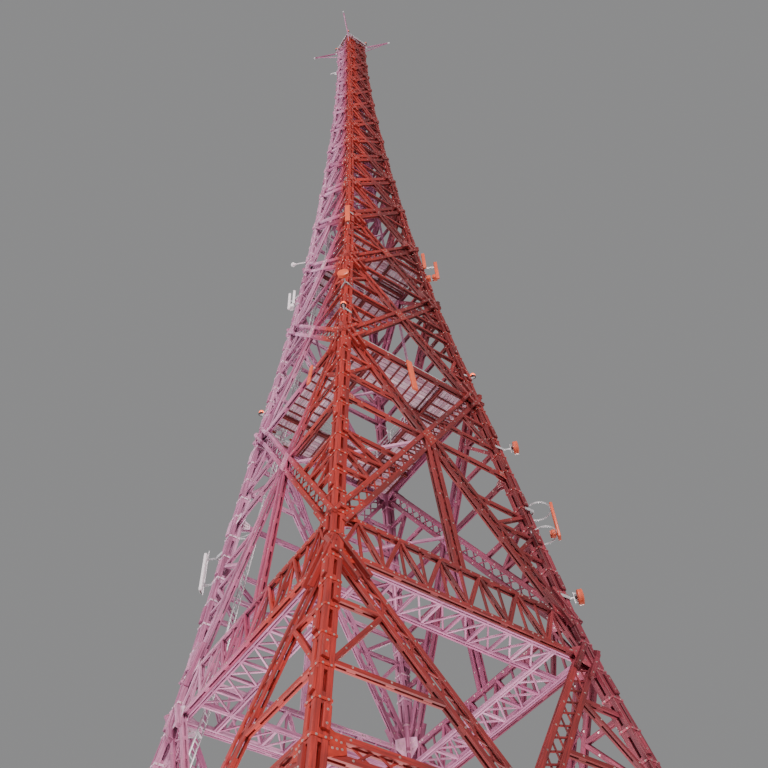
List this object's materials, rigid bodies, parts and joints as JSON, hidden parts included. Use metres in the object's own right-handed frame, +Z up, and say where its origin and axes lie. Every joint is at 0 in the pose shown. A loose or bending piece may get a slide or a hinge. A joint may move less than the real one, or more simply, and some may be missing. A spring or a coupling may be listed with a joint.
{
  "type": "1:10 scale model of a timber radio mast",
  "caption": "Tall square timber lattice mast on footings, tapering in a hollow curve, with laced cross bracing, platforms, ladder and antennas.",
  "frame": {"origin": "on the ground at the centre of the base", "axes": "+Z up, -Y the front face, +X to the right seen from the front"},
  "size_m": [2.1378, 2.1378, 11.124],
  "materials": {
    "leg_timber": "red-brown stained, weathered",
    "brace_timber": "red-brown stained, weathered",
    "deck_boards": "red-brown stained boards",
    "concrete": "cast concrete",
    "dark_steel": "dark paint",
    "galvanised": "galvanised",
    "antenna_grey": "pale grey covers",
    "lamp_red": "red obstruction glass"
  },
  "bodies": {
    "root": {"back_base_braces": "brace_timber", "back_left_lower_leg": "leg_timber", "back_left_upper_leg": "leg_timber", "back_middle_braces": "brace_timber", "back_neck_braces": "brace_timber", "back_right_lower_leg": "leg_timber", "back_right_upper_leg": "leg_timber", "back_top_braces": "brace_timber", "back_upper_braces": "brace_timber", "drum_antennas": "antenna_grey", "first_platform_deck": "deck_boards", "first_platform_railing": "galvanised", "footings": "concrete", "front_base_braces": "brace_timber", "front_left_lower_leg": "leg_timber", "front_left_upper_leg": "leg_timber", "front_middle_braces": "brace_timber", "front_neck_braces": "brace_timber", "front_right_lower_leg": "leg_timber", "front_right_upper_leg": "leg_timber", "front_top_braces": "brace_timber", "front_upper_braces": "brace_timber", "gallery_lamps": "lamp_red", "hung_panels": "antenna_grey", "ladder": "galvanised", "left_base_braces": "brace_timber", "left_middle_braces": "brace_timber", "left_neck_braces": "brace_timber", "left_top_braces": "brace_timber", "left_upper_braces": "brace_timber", "leg_shoes": "dark_steel", "panel_antennas": "antenna_grey", "plan_ties": "brace_timber", "platform_beams": "brace_timber", "right_base_braces": "brace_timber", "right_middle_braces": "brace_timber", "right_neck_braces": "brace_timber", "right_top_braces": "brace_timber", "right_upper_braces": "brace_timber", "ring_truss": "brace_timber", "rod_antennas": "antenna_grey", "second_platform_deck": "deck_boards", "second_platform_railing": "galvanised", "third_platform_deck": "deck_boards", "third_platform_railing": "galvanised", "top_booms": "brace_timber", "top_lamps": "lamp_red", "top_platform_deck": "deck_boards", "top_platform_railing": "galvanised"}
  },
  "joints": []
}
